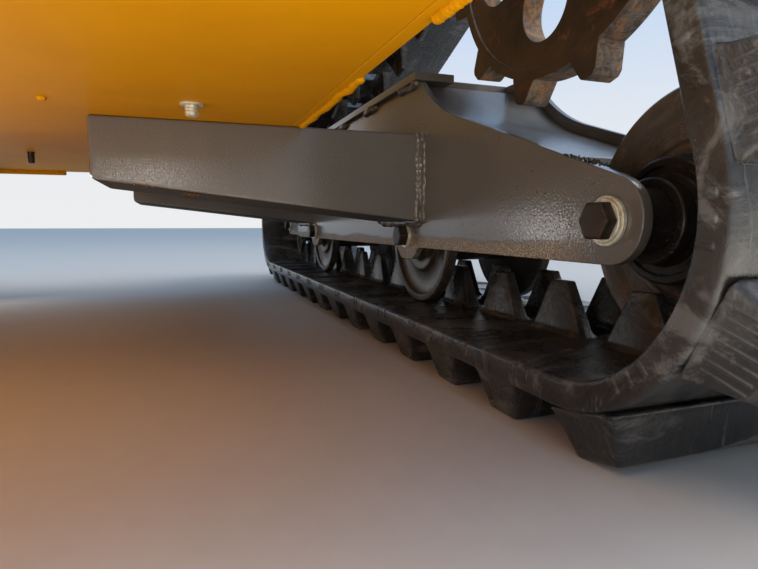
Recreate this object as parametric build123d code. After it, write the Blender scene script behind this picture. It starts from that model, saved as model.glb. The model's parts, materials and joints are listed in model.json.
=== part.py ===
from build123d import *
from collections import namedtuple
import math
import os

# Tracked undercarriage of a compact utility loader, in millimetres.
# X runs forward to the tension idlers, Y to the left, Z up from the floor.
# The left track unit is modelled, and the right one is its mirror image.
# Inside the helpers, x is counted from the rear idler's axle, and v across
# the track unit from the middle of its belt, positive outwards.

os.makedirs("parts", exist_ok=True)

# Rubber track
track_pitch = 72.0
track_links = 35
belt_width = 200.0
belt_thickness = 14.0
belt_standoff = 4.5
pitch_line_depth = 5.0
tread_height = 24.0
tread_length = 42.0
tread_end_gap = 3.0
tread_taper = 17.0
lug_height = 35.0
lug_base = 52.0
lug_tip = 17.0
lug_thickness = 11.0
window_inner_length = 38.0
window_outer_length = 26.0
first_lug_ahead = 92.0
root_sink = 3.0

# Places of the wheels, counted from the rear idler's axle
idler_wrap_radius = 74.0
sprocket_ahead = 126.5
sprocket_above = 237.5
roller_ahead = (258.0, 625.0)

# Clearances
running_gap = 0.3
shaft_gap = 0.05
bolt_gap = 0.3
side_gap = 5.0

# Sprocket and drive
sprocket_teeth = 12
sprocket_thickness = 22.0
sprocket_web_thickness = 18.0
sprocket_step_radius = 124.0
tooth_height = 18.0
tooth_root_half = 14.0
tooth_tip_half = 6.5
tooth_tip_bevel = 2.5
lightening_holes = 6
lightening_radius = 26.5
lightening_circle = 79.0
lightening_turn = -6.5
hub_radius = 50.0
hub_depth = 28.0
nose_radius = 30.0
nose_length = 24.0
spindle_radius = 20.0
spindle_length = 36.0
motor_flange_radius = 80.0
motor_flange_thickness = 12.0
motor_body_radius = 55.0
motor_inner_length = 100.0
motor_nose_radius = 46.0

# Idler wheels
idler_rim_half = 9.0
idler_web_half = 6.0
idler_rim_depth = 12.0
idler_web_fall = 3.0
idler_hub_radius = 33.0
idler_boss_radius = 22.0
idler_boss_length = 10.0
axle_radius = 12.0
spacer_radius = 17.0

# Road rollers
roller_size = 62.5
roller_disc_inner = 43.0
roller_disc_outer = 53.0
roller_lip = 9.0
roller_dish = 6.0
roller_barrel_radius = 24.0
roller_boss_radius = 19.0
roller_axle_radius = 10.0
collar_radius = 15.0
collar_length = 2.7

# Bolts
bolt_radius = 6.0
bolt_head_flats = 18.0
bolt_head_height = 8.0
washer_radius = 12.5
roller_washer_radius = 11.5
washer_thickness = 2.5

# Track frame
frame_width = 130.0
plate_thickness = 6.0
plate_edge = 22.0
plate_end = 755.0
plate_end_height = 106.0
plate_foot_round = 10.0
plate_brow_round = 12.0
plate_bend_round = 40.0
end_flat = 0.5
frame_rise = 143.5
nose_rise = 26.3
nose_start = 7.0
nose_slope = 19.05
ear_half_top = 26.0
ear_half_tip = 13.0
ear_drop = 11.0
bend_ahead = 198.5
bend_round = 150.0
top_ahead = 231.0
top_round = 3.0
top_plate_start = 228.0
top_plate_end = 600.0
top_plate_thickness = 7.0
top_plate_overhang = 5.0
tooth_notch_half = 33.0
tooth_notch_end = 248.5
rear_cover_inset = 9.0
front_cover_inset = 4.0
cover_thickness = 5.0
cover_start = 12.0
axle_notch_half = 42.0
axle_notch_end = 36.0
wheel_notch_half = 17.0
wheel_notch_end = 82.0

# Track tension
stop_start = 544.0
stop_thickness = 8.0
stop_above_axle = 6.0
tension_height = 39.0
tension_radius = 19.0
tension_collar_radius = 24.0
tension_collar_thickness = 8.0
tension_body_length = 80.0
tension_rod_radius = 11.0
yoke_start = 712.0
yoke_cross_depth = 40.0
yoke_cross_height = 38.0
yoke_arm_thickness = 12.0
yoke_side_gap = 2.0
yoke_end_radius = 20.0
yoke_corner_round = 4.0
yoke_shoulder_round = 8.0
yoke_heel_round = 12.0
yoke_waist_round = 20.0

# Lower frame
track_gauge = 840.0
belly_above_belt = 150.0
belly_half_width = 243.0
frame_rear = -95.0
frame_front = 716.0
belly_thickness = 8.0
wall_thickness = 8.0
wall_height = 252.0
flange_width = 48.0
flange_bolt_radius = 7.0
flange_bolt_inset = 26.0
flange_bolt_rear = 5.0
flange_bolt_front = 616.0

# Cross arms
arm_inner_end = 97.0
arm_length = 95.0
arm_depth_inner = 46.0
arm_depth_outer = 75.4
arm_wall = 8.0
arm_corner = 6.0
arm_starts = {"rear": 225.0, "front": 643.0}

# Worked out from the sizes above
floor_to_belt = tread_height + belt_thickness
idler_z = floor_to_belt + idler_wrap_radius
sprocket_z = idler_z + sprocket_above
roller_radius = roller_size - running_gap
roller_z = floor_to_belt + running_gap + roller_radius
pitch_radius = sprocket_teeth * track_pitch / (2 * math.pi)
sprocket_root_radius = pitch_radius - pitch_line_depth - running_gap
plate_in = frame_width / 2 - plate_thickness
lug_row_gap = sprocket_thickness + 2 * side_gap
idler_boss_half = plate_in - yoke_side_gap - yoke_arm_thickness - side_gap
idler_hub_half = idler_boss_half - idler_boss_length
roller_boss_half = plate_in - collar_length - running_gap
frame_top_z = idler_z + frame_rise - plate_edge
belly_z = floor_to_belt + belly_above_belt

Wheel = namedtuple("Wheel", "x z radius")
Arc = namedtuple("Arc", "wheel start sweep length")
Run = namedtuple("Run", "x z normal length")


def run_normal(first, second):
    """Outward normal, in degrees, of the straight run between two wheels."""
    dx = second.x - first.x
    dz = second.z - first.z
    swing = math.acos((first.radius - second.radius) / math.hypot(dx, dz))
    return math.degrees(math.atan2(dz, dx) + swing)


def loop_path(spacing):
    """Pitch line of the track, clockwise from under the rear idler's axle."""
    wrap = idler_wrap_radius + pitch_line_depth
    wheels = (
        Wheel(-belt_standoff, idler_z, wrap),
        Wheel(sprocket_ahead, sprocket_z, pitch_radius),
        Wheel(spacing + belt_standoff, idler_z, wrap),
    )
    normals = (270.0, run_normal(wheels[0], wheels[1]), run_normal(wheels[1], wheels[2]), -90.0)
    path = []
    for index, wheel in enumerate(wheels):
        following = wheels[(index + 1) % 3]
        sweep = normals[index] - normals[index + 1]
        path.append(Arc(wheel, normals[index], sweep, math.radians(sweep) * wheel.radius))
        turn = math.radians(normals[index + 1])
        start_x = wheel.x + wheel.radius * math.cos(turn)
        start_z = wheel.z + wheel.radius * math.sin(turn)
        gap = math.hypot(following.x - wheel.x, following.z - wheel.z)
        reach = math.sqrt(gap**2 - (following.radius - wheel.radius) ** 2)
        path.append(Run(start_x, start_z, normals[index + 1], reach))
    return path


def solve_spacing():
    """Idler spacing at which the tensioned track is exactly its links long."""
    low = 2 * sprocket_ahead
    high = track_pitch * track_links / 2
    for step in range(60):
        middle = (low + high) / 2
        if sum(piece.length for piece in loop_path(middle)) < track_pitch * track_links:
            low = middle
        else:
            high = middle
    return middle


idler_spacing = solve_spacing()
path = loop_path(idler_spacing)


def loop_point(distance):
    """Place (x, z) and outward normal in degrees at a distance along the pitch line."""
    rest = distance % (track_pitch * track_links)
    for piece in path:
        if rest <= piece.length:
            break
        rest -= piece.length
    if isinstance(piece, Arc):
        normal = piece.start - math.degrees(rest / piece.wheel.radius)
        turn = math.radians(normal)
        radius = piece.wheel.radius
        return piece.wheel.x + radius * math.cos(turn), piece.wheel.z + radius * math.sin(turn), normal
    turn = math.radians(piece.normal)
    return piece.x + rest * math.sin(turn), piece.z - rest * math.cos(turn), piece.normal


def loop_solid(offset):
    """Solid inside the line that lies offset outside the pitch line, as wide as the belt."""
    half = belt_width / 2
    edges = []
    ends = []
    for arc in path[0::2]:
        radius = arc.wheel.radius + offset
        points = []
        for share in (0.0, 0.5, 1.0):
            turn = math.radians(arc.start - share * arc.sweep)
            points.append((arc.wheel.x + radius * math.cos(turn), -half, arc.wheel.z + radius * math.sin(turn)))
        edges.append(Edge.make_three_point_arc(*points))
        ends.append((points[0], points[2]))
    for index in range(3):
        edges.append(Edge.make_line(ends[index][1], ends[(index + 1) % 3][0]))
    return extrude(Face(Wire(edges)), amount=belt_width, dir=(0, 1, 0))


def plate(outline, low, high):
    """Flat plate from low to high across the machine, outline (x, z, corner radius)."""
    points = [(x, z) for x, z, radius in outline]
    radii = [radius for x, z, radius in outline]
    edge = FilletPolyline(*points, radius=radii, close=True)
    return extrude(Plane.XZ.offset(-high) * make_face(edge), amount=high - low)


def cross_hole(x, z, radius, low, high):
    """Round bar or cutter across the machine."""
    return extrude(Plane.XZ.offset(-high) * Pos(x, z) * Circle(radius), amount=high - low)


def turned(profile, x, z):
    """Turned piece on a cross axis at (x, z), profile (v, radius)."""
    edge = Polyline(*[(radius, v) for v, radius in profile], close=True)
    return Pos(x, 0, z) * revolve(make_face(edge), Axis.Y)


def mirrored_profile(half):
    """Full profile from the half with v above 0, listed from the middle out."""
    return half + [(-v, radius) for v, radius in reversed(half)]


def bolt_end(x, z, seat, outwards, thickness, radius):
    """Bolt through a plate of some thickness, with a washer of some radius, from its seat outwards."""
    washer_start = seat + outwards * thickness
    washer_end = washer_start + outwards * washer_thickness
    head_end = washer_end + outwards * bolt_head_height
    shank = cross_hole(x, z, bolt_radius, min(seat, washer_end), max(seat, washer_end))
    washer = cross_hole(x, z, radius, min(washer_start, washer_end), max(washer_start, washer_end))
    flats = Pos(x, z) * RegularPolygon(bolt_head_flats / 2, 6, major_radius=False)
    head = extrude(Plane.XZ.offset(-max(washer_end, head_end)) * flats, amount=bolt_head_height)
    return shank + washer + head


def parallel(points, distance):
    """Polyline lowered by a distance square to its runs."""
    shifted = []
    for index, (x, z) in enumerate(points):
        before = points[max(index - 1, 0)]
        after = points[min(index + 1, len(points) - 1)]
        if index == 0:
            before = (2 * x - after[0], 2 * z - after[1])
        if index == len(points) - 1:
            after = (2 * x - before[0], 2 * z - before[1])
        angle_in = math.atan2(z - before[1], x - before[0])
        angle_out = math.atan2(after[1] - z, after[0] - x)
        middle = (angle_in + angle_out) / 2
        reach = distance / math.cos((angle_out - angle_in) / 2)
        shifted.append((x + reach * math.sin(middle), z - reach * math.cos(middle)))
    return shifted


# Upper edge of the side plates, from the rear idler up to the top plate
slope = math.tan(math.radians(nose_slope))
rear_edge = [
    (cover_start, idler_z + nose_rise + (cover_start - nose_start) * slope),
    (bend_ahead, idler_z + nose_rise + (bend_ahead - nose_start) * slope),
    (top_ahead, frame_top_z),
]
rear_edge_rounds = [0.0, bend_round, top_round]
front_edge = [(top_plate_end, frame_top_z), (plate_end, idler_z - plate_edge + plate_end_height)]


def side_plate(low, high):
    """Side plate of the track frame, with its round rear end and an ear under each roller bolt."""
    bottom = idler_z - plate_edge
    ear_bottom = roller_z - plate_edge + running_gap
    corner_z = idler_z + nose_rise - (nose_start + plate_edge) * slope
    end_round = plate_edge - end_flat
    outline = [(-plate_edge, corner_z, end_round), (-plate_edge, bottom, end_round)]
    for ahead in roller_ahead:
        outline += [
            (ahead - ear_half_top, bottom, ear_drop),
            (ahead - ear_half_tip, ear_bottom, ear_drop),
            (ahead + ear_half_tip, ear_bottom, ear_drop),
            (ahead + ear_half_top, bottom, ear_drop),
        ]
    outline += [(plate_end, bottom, plate_foot_round), (plate_end, front_edge[1][1], plate_brow_round)]
    outline += [(*front_edge[0], plate_bend_round)]
    rear = list(zip(rear_edge, rear_edge_rounds))[1:]
    outline += [(x, z, radius) for (x, z), radius in reversed(rear)]
    solid = plate(outline, low, high)
    solid -= cross_hole(0.0, idler_z, bolt_radius + bolt_gap, low, high)
    for ahead in roller_ahead:
        solid -= cross_hole(ahead, roller_z, bolt_radius + bolt_gap, low, high)
    return solid


def cover(edge, rounds, inset):
    """Bent cover between the side plates, a little below their upper edge."""
    top = parallel(edge, inset)
    bottom = parallel(edge, inset + cover_thickness)
    outline = [(x, z, radius) for (x, z), radius in zip(top, rounds)]
    outline += [(x, z, radius) for (x, z), radius in reversed(list(zip(bottom, rounds)))]
    solid = plate(outline, -plate_in, plate_in)
    above = Pos(0, 0, frame_top_z) * Box(
        4 * plate_end, frame_width, frame_width, align=(Align.CENTER, Align.CENTER, Align.MIN)
    )
    return solid - above


def rear_cover():
    """Cover behind the top plate, notched round the rear idler and its axle."""
    last = rear_edge[-1]
    before = rear_edge[-2]
    beyond = (2 * last[0] - before[0], 2 * last[1] - before[1])
    solid = cover(rear_edge[:-1] + [beyond], rear_edge_rounds[:-1] + [0.0], rear_cover_inset)
    for half, end in ((axle_notch_half, axle_notch_end), (wheel_notch_half, wheel_notch_end)):
        solid -= Pos(0, 0, idler_z) * Box(2 * end, 2 * half, frame_width)
    return solid


def front_cover():
    """Cover in front of the top plate, down to the tension yoke."""
    first, last = front_edge
    beyond = (2 * first[0] - last[0], 2 * first[1] - last[1])
    return cover([beyond, last], [0.0, 0.0], front_cover_inset)


def top_plate():
    """Flat bar along the top of the side plates, notched at its rear end for the sprocket's teeth."""
    half = frame_width / 2 + top_plate_overhang
    length = top_plate_end - top_plate_start
    middle_z = frame_top_z + top_plate_thickness / 2
    solid = Pos(top_plate_start + length / 2, 0, middle_z) * Box(length, 2 * half, top_plate_thickness)
    notch = Box(2 * (tooth_notch_end - top_plate_start), 2 * tooth_notch_half, top_plate_thickness)
    return solid - Pos(top_plate_start, 0, middle_z) * notch


def idler_wheel(x):
    """Idler with a centre rim that runs between the two rows of guide lugs."""
    rim = idler_wrap_radius - running_gap
    half = [
        (idler_rim_half, rim),
        (idler_rim_half, rim - idler_rim_depth),
        (idler_web_half, rim - idler_rim_depth - idler_web_fall),
        (idler_web_half, idler_hub_radius),
        (idler_hub_half, idler_hub_radius),
        (idler_hub_half, idler_boss_radius),
        (idler_boss_half, idler_boss_radius),
        (idler_boss_half, axle_radius + shaft_gap),
    ]
    return turned(mirrored_profile(half), x, idler_z)


def idler_axle(x, seat, thickness):
    """Fixed idler axle between seats of some thickness, with spacers, bolts and washers."""
    start = idler_boss_half + running_gap
    half = [(start, axle_radius), (start, spacer_radius), (seat, spacer_radius), (seat, 0.0)]
    axle = turned(mirrored_profile(half), x, idler_z)
    for side in (-1, 1):
        axle += bolt_end(x, idler_z, side * seat, side, thickness, washer_radius)
    return axle


def road_roller(x):
    """Roller with two dished discs, one on each side of the guide lugs."""
    half = [
        (roller_disc_inner - roller_dish, roller_barrel_radius),
        (roller_disc_inner, roller_radius),
        (roller_disc_outer, roller_radius),
        (roller_disc_outer - roller_dish, roller_radius - roller_lip),
        (roller_boss_half, roller_boss_radius),
        (roller_boss_half, roller_axle_radius + shaft_gap),
    ]
    return turned(mirrored_profile(half), x, roller_z)


def roller_axle(x):
    """Fixed roller axle between the side plates, with collars, bolts and washers."""
    start = roller_boss_half + running_gap
    half = [(start, roller_axle_radius), (start, collar_radius), (plate_in, collar_radius), (plate_in, 0.0)]
    axle = turned(mirrored_profile(half), x, roller_z)
    for side in (-1, 1):
        axle += bolt_end(x, roller_z, side * plate_in, side, plate_thickness, roller_washer_radius)
    return axle


def tension_stop():
    """Cross plate inside the track frame that the tensioner pushes against."""
    low = idler_z + stop_above_axle
    height = frame_top_z - low
    centre = Pos(stop_start + stop_thickness / 2, 0, low + height / 2)
    return centre * Box(stop_thickness, 2 * plate_in, height)


def tensioner():
    """Grease cylinder with its collar and rod, from the stop to the yoke."""
    start = stop_start + stop_thickness
    collar = start + tension_body_length
    profile = [
        (start, 0.0),
        (start, tension_radius),
        (collar, tension_radius),
        (collar, tension_collar_radius),
        (collar + tension_collar_thickness, tension_collar_radius),
        (collar + tension_collar_thickness, tension_rod_radius),
        (yoke_start, tension_rod_radius),
        (yoke_start, 0.0),
    ]
    edge = Polyline(*profile, close=True)
    return Pos(0, 0, idler_z + tension_height) * revolve(make_face(edge), Axis.X)


def tension_yoke():
    """Fork that carries the front idler and slides between the side plates."""
    outer = plate_in - yoke_side_gap
    inner = outer - yoke_arm_thickness
    axis_z = idler_z + tension_height
    low = axis_z - yoke_cross_height / 2
    high = axis_z + yoke_cross_height / 2
    end = idler_spacing + yoke_end_radius
    end_round = yoke_end_radius - end_flat
    outline = [
        (yoke_start, low, yoke_corner_round),
        (yoke_start + yoke_cross_depth, idler_z - yoke_end_radius, yoke_heel_round),
        (end, idler_z - yoke_end_radius, end_round),
        (end, idler_z + yoke_end_radius, end_round),
        (yoke_start + 2 * yoke_cross_depth, idler_z + yoke_end_radius, yoke_waist_round),
        (yoke_start + yoke_cross_depth, high, yoke_shoulder_round),
        (yoke_start, high, yoke_corner_round),
    ]
    cross = Pos(yoke_start + yoke_cross_depth / 2, 0, axis_z) * Box(yoke_cross_depth, 2 * inner, yoke_cross_height)
    arms = plate(outline, inner, outer) + plate(outline, -outer, -inner)
    holes = cross_hole(idler_spacing, idler_z, bolt_radius + bolt_gap, -outer, outer)
    return cross + arms - holes


def sprocket():
    """Toothed plate with lightening holes and a thicker toothed ring."""
    half = sprocket_thickness / 2
    window_start = -first_lug_ahead
    while window_start < path[0].length + path[1].length:
        window_start += track_pitch
    tooth_angle = loop_point(window_start)[2]
    root = sprocket_root_radius
    tip = root + tooth_height
    outline = Circle(root)
    shoulder = tooth_tip_half + tooth_tip_bevel * (tooth_root_half - tooth_tip_half) / tooth_height
    half_tooth = [
        (root - tooth_height, tooth_root_half),
        (root, tooth_root_half),
        (tip - tooth_tip_bevel, shoulder),
        (tip, tooth_tip_half - tooth_tip_bevel),
    ]
    tooth = Polyline(*half_tooth, *[(x, -y) for x, y in reversed(half_tooth)], close=True)
    for index in range(sprocket_teeth):
        outline += Rot(0, 0, tooth_angle + index * 360 / sprocket_teeth) * make_face(tooth)
    solid = extrude(Plane.XZ.offset(-half) * outline, amount=sprocket_thickness)
    step_depth = (sprocket_thickness - sprocket_web_thickness) / 2
    for side in (-1, 1):
        start = side * half if side < 0 else half - step_depth
        solid -= cross_hole(0, 0, sprocket_step_radius, start, start + step_depth)
    solid -= cross_hole(0, 0, nose_radius + running_gap, -half, half)
    for index in range(lightening_holes):
        turn = math.radians(tooth_angle + lightening_turn + index * 360 / lightening_holes)
        x = lightening_circle * math.cos(turn)
        z = lightening_circle * math.sin(turn)
        solid -= cross_hole(x, z, lightening_radius, -half, half)
    return Pos(sprocket_ahead, 0, sprocket_z) * solid


def sprocket_hub():
    """Motor hub: flange against the sprocket's inner face, nose through its bore, turning on the spindle."""
    face = -sprocket_web_thickness / 2
    bore = spindle_radius + shaft_gap
    bore_end = face - hub_depth + spindle_length + running_gap
    profile = [
        (face - hub_depth, bore),
        (face - hub_depth, hub_radius),
        (face, hub_radius),
        (face, nose_radius),
        (face + nose_length, nose_radius),
        (face + nose_length, 0.0),
        (bore_end, 0.0),
        (bore_end, bore),
    ]
    return turned(profile, sprocket_ahead, sprocket_z)


def rubber_track():
    """Belt with two rows of guide lugs, drive windows between them and tread bars outside."""
    inner = -pitch_line_depth
    outer = belt_thickness - pitch_line_depth
    belt = loop_solid(outer) - loop_solid(inner)
    row_in = lug_row_gap / 2
    row_out = row_in + lug_thickness
    lug_outline = [
        (-lug_base / 2, inner + root_sink, 0.0),
        (lug_base / 2, inner + root_sink, 0.0),
        (lug_tip / 2, inner - lug_height, 0.0),
        (-lug_tip / 2, inner - lug_height, 0.0),
    ]
    lugs = [plate(lug_outline, row_in, row_out), plate(lug_outline, -row_out, -row_in)]
    bar_base = Pos(0, 0, outer - root_sink) * Rectangle(tread_length, belt_width - 2 * tread_end_gap)
    bar = extrude(bar_base, amount=root_sink + tread_height, taper=tread_taper)
    window_spread = (window_inner_length - window_outer_length) / 2
    window_outline = [
        (-window_inner_length / 2 - window_spread, inner - belt_thickness, 0.0),
        (window_inner_length / 2 + window_spread, inner - belt_thickness, 0.0),
        (window_outer_length / 2 - window_spread, outer + belt_thickness, 0.0),
        (window_spread - window_outer_length / 2, outer + belt_thickness, 0.0),
    ]
    window = plate(window_outline, -row_in, row_in)
    windows = []
    added = []
    for index in range(track_links):
        distance = index * track_pitch - first_lug_ahead
        place = local_place(distance)
        windows.append(place * window)
        added += [place * lug for lug in lugs]
        added.append(local_place(distance + track_pitch / 2) * bar)
    belt = belt - windows
    return belt + added


def local_place(distance):
    """Place on the pitch line with x along the track, y across it and z outwards."""
    x, z, normal = loop_point(distance)
    turn = math.radians(normal)
    along = (math.sin(turn), 0, -math.cos(turn))
    outwards = (math.cos(turn), 0, math.sin(turn))
    return Plane(origin=(x, 0, z), x_dir=along, z_dir=outwards).location


def cross_arm(start):
    """Hollow wedge-shaped arm from under the belly plate to the inner side plate."""
    outer_end = track_gauge / 2 - frame_width / 2
    deep = belly_z - arm_depth_outer
    shallow = belly_z - arm_depth_inner
    outline = [(arm_inner_end, belly_z), (outer_end, belly_z), (outer_end, deep), (arm_inner_end, shallow)]
    edge = FilletPolyline(*outline, radius=(0.0, 0.0, 0.0, arm_corner), close=True)
    face = make_face(edge)
    solid = extrude(Plane.YZ.offset(start) * face, amount=arm_length)
    inside = extrude(Plane.YZ.offset(start + arm_wall) * offset(face, -arm_wall), amount=arm_length - 2 * arm_wall)
    return solid - inside


def belly_plate():
    """Flat bottom of the lower frame."""
    length = frame_front - frame_rear
    centre = Pos(frame_rear + length / 2, 0, belly_z + belly_thickness / 2)
    return centre * Box(length, 2 * belly_half_width, belly_thickness)


def end_wall(start):
    """Cross wall between the side walls, standing on the belly plate."""
    height = wall_height - belly_thickness
    centre = Pos(start + wall_thickness / 2, 0, belly_z + belly_thickness + height / 2)
    return centre * Box(wall_thickness, 2 * belly_half_width, height)


def side_wall():
    """Left side wall with its inward top flange and the opening for the drive motor."""
    length = frame_front - frame_rear
    middle = frame_rear + length / 2
    top = belly_z + wall_height
    wall = Pos(middle, belly_half_width + wall_thickness / 2, belly_z + wall_height / 2) * Box(
        length, wall_thickness, wall_height
    )
    flange_mid = belly_half_width + wall_thickness - flange_width / 2
    clear = length - 2 * wall_thickness
    flange = Pos(middle, flange_mid, top - wall_thickness / 2) * Box(clear, flange_width, wall_thickness)
    solid = wall + flange
    bolt_y = belly_half_width + wall_thickness - flange_bolt_inset
    for ahead in (flange_bolt_rear, flange_bolt_front):
        solid -= Pos(ahead, bolt_y, top - wall_thickness / 2) * Cylinder(flange_bolt_radius, 2 * wall_thickness)
    outside = belly_half_width + wall_thickness
    return solid - cross_hole(sprocket_ahead, sprocket_z, motor_body_radius + bolt_gap, belly_half_width, outside)


def drive_motor():
    """Hydraulic wheel motor, bolted to the side wall by its flange, with the hub's spindle."""
    outside = belly_half_width + wall_thickness
    flange_end = outside + motor_flange_thickness
    hub_face = track_gauge / 2 - sprocket_web_thickness / 2 - hub_depth
    profile = [
        (outside - motor_inner_length, 0.0),
        (outside - motor_inner_length, motor_body_radius),
        (outside, motor_body_radius),
        (outside, motor_flange_radius),
        (flange_end, motor_flange_radius),
        (flange_end, motor_body_radius),
        (hub_face - motor_flange_thickness, motor_body_radius),
        (hub_face - running_gap, motor_nose_radius),
        (hub_face - running_gap, spindle_radius),
        (hub_face + spindle_length, spindle_radius),
        (hub_face + spindle_length, 0.0),
    ]
    return turned(profile, sprocket_ahead, sprocket_z)


# Left track unit, about the middle of its belt
unit = {
    "inner_frame_plate": side_plate(-frame_width / 2, -plate_in),
    "outer_frame_plate": side_plate(plate_in, frame_width / 2),
    "frame_top_plate": top_plate(),
    "rear_cover": rear_cover(),
    "front_cover": front_cover(),
    "tension_stop": tension_stop(),
    "tensioner": tensioner(),
    "tension_yoke": tension_yoke(),
    "rear_idler": idler_wheel(0.0),
    "rear_idler_axle": idler_axle(0.0, plate_in, plate_thickness),
    "front_idler": idler_wheel(idler_spacing),
    "front_idler_axle": idler_axle(
        idler_spacing, plate_in - yoke_side_gap - yoke_arm_thickness, yoke_arm_thickness
    ),
    "road_rollers": Compound([road_roller(ahead) for ahead in roller_ahead]),
    "roller_axles": Compound([roller_axle(ahead) for ahead in roller_ahead]),
    "sprocket": sprocket(),
    "sprocket_hub": sprocket_hub(),
    "rubber_track": rubber_track(),
}

# Pieces of the left half that are placed from the middle of the machine
half_frame = {
    "side_wall": side_wall(),
    "drive_motor": drive_motor(),
    "rear_arm": cross_arm(arm_starts["rear"]),
    "front_arm": cross_arm(arm_starts["front"]),
}
middle_pieces = {
    "belly_plate": belly_plate(),
    "rear_wall": end_wall(frame_rear),
    "front_wall": end_wall(frame_front - wall_thickness),
}

# The origin is on the floor, under the middle of the tracks' length
track_box = unit["rubber_track"].bounding_box()
origin_x = -(track_box.min.X + track_box.max.X) / 2
pieces = {}
for name, solid in middle_pieces.items():
    pieces[name] = Pos(origin_x, 0, 0) * solid
for name, solid in half_frame.items():
    pieces["left_" + name] = Pos(origin_x, 0, 0) * solid
for name, solid in unit.items():
    pieces["left_" + name] = Pos(origin_x, track_gauge / 2, 0) * solid
for name in [name for name in pieces if name.startswith("left_")]:
    pieces[name.replace("left_", "right_")] = mirror(pieces[name], Plane.XZ)

for name, solid in pieces.items():
    export_step(solid, "parts/" + name + ".step")

print("rear axle x %.3f, front axle x %.3f, idler z %.3f" % (origin_x, origin_x + idler_spacing, idler_z))
print("sprocket x %.3f z %.3f, roller z %.3f" % (origin_x + sprocket_ahead, sprocket_z, roller_z))
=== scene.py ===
import bmesh
import bpy
import json
import math
import random
from collections import namedtuple
from mathutils import Matrix, Vector
from mathutils import noise as solid_noise

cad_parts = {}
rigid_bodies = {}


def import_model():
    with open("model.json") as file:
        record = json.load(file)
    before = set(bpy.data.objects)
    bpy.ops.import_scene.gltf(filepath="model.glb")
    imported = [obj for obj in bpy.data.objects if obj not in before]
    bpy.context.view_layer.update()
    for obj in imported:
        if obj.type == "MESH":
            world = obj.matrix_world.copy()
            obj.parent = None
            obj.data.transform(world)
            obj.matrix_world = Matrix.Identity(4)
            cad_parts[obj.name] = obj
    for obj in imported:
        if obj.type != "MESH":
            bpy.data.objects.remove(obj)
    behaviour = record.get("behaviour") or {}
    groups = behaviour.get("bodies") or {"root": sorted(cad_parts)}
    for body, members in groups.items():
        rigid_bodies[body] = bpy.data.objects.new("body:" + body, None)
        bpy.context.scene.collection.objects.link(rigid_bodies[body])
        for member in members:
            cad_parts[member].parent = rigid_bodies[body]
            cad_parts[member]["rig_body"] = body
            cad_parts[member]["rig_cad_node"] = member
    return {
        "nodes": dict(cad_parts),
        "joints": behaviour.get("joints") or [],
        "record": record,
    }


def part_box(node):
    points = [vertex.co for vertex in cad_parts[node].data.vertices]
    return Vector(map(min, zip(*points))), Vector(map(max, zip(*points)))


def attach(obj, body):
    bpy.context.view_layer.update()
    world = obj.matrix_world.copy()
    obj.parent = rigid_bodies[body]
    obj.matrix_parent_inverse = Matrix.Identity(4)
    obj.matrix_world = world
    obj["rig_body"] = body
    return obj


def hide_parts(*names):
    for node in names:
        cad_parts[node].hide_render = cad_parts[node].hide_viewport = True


# Tracked undercarriage of a compact utility loader, dressed around its solids, in metres.
# Each track unit is worked on in its own terms: along its loop, across its belt, and out of it.

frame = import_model()
bpy.ops.object.select_all(action="DESELECT")
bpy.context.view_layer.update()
nodes = frame["nodes"]
joints = {joint["name"]: Vector(joint["pos_m"]) for joint in frame["joints"]}
slots = {row["node"]: row["material_slot"] for row in frame["record"]["subparts"]}
bodies = frame["record"]["behaviour"]["bodies"]
body_of = {member: body for body, members in bodies.items() for member in members}
chance = random.Random(7)
sides = ((1, "left"), (-1, "right"))

# Rubber track
track_pitch = 0.072
track_links = 35
belt_width = 0.200
belt_thickness = 0.014
belt_standoff = 0.0045
pitch_line_depth = 0.005
first_lug_ahead = 0.092
window_inner_length = 0.038
window_outer_length = 0.026
window_width = 0.032
window_round = 0.004
link_bends = (0.004, 0.0095, 0.0245, 0.030)
side_bend = 0.060
belt_edge_round = 0.0022
tread_height = 0.024
tread_length = 0.042
tread_tip_length = 0.027
tread_width = 0.194
tread_tip_width = 0.180
lug_height = 0.035
lug_base = 0.052
lug_tip = 0.017
lug_out = 0.027
lug_tip_thickness = 0.007
root_flare = 0.003
root_overlap = 0.0005
mark_spacing = 0.0086
mark_depth = 0.007
mark_inset = 0.002
ridge_reach = 0.046
ridge_skew = 0.016
rib_spacing = 0.0042
rib_inset = 0.0034
rib_rise = 0.011

# Wheels and plates
idler_wrap_radius = 0.074
roller_radius = 0.0625
sprocket_teeth = 12
hub_grease_radius = 0.0345
running_gap = 0.0003
washer_thickness = 0.0025
wall_thickness = 0.008

# Weld beads: their radii, and how far they sink in
arm_bead = 0.0060
toe_bead = 0.0031
edge_bead = 0.0029
under_bead = 0.0045
belly_bead = 0.0030
stitch_bead = 0.0026
corner_bead = 0.0022
seam_bead = 0.0035
top_bead = 0.0046
bead_sink = 0.0006

rear_axle = joints["left_rear_idler_spin"]
front_axle = joints["left_front_idler_spin"]
sprocket_axle = joints["left_sprocket_spin"]
half_gauge = rear_axle.y
belly_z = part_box("belly_plate")[0].z
wall_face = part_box("left_side_wall")[1].y
plate_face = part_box("left_inner_frame_plate")[0].y
half_frame = half_gauge - plate_face

Wheel = namedtuple("Wheel", "x z radius")
Arc = namedtuple("Arc", "wheel start length")
Run = namedtuple("Run", "x z normal length")


# Small steps of modelling

def only(piece):
    """Makes a piece the only one selected, and the active one."""
    bpy.ops.object.select_all(action="DESELECT")
    piece.select_set(True)
    bpy.context.view_layer.objects.active = piece


def titled(piece, name):
    piece.name = name
    piece.data.name = name
    return piece


def named(name):
    """Gives the piece just added its name, with its place put into its mesh."""
    piece = titled(bpy.context.object, name)
    only(piece)
    bpy.ops.object.transform_apply(location=True, rotation=True, scale=True)
    return piece


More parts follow.
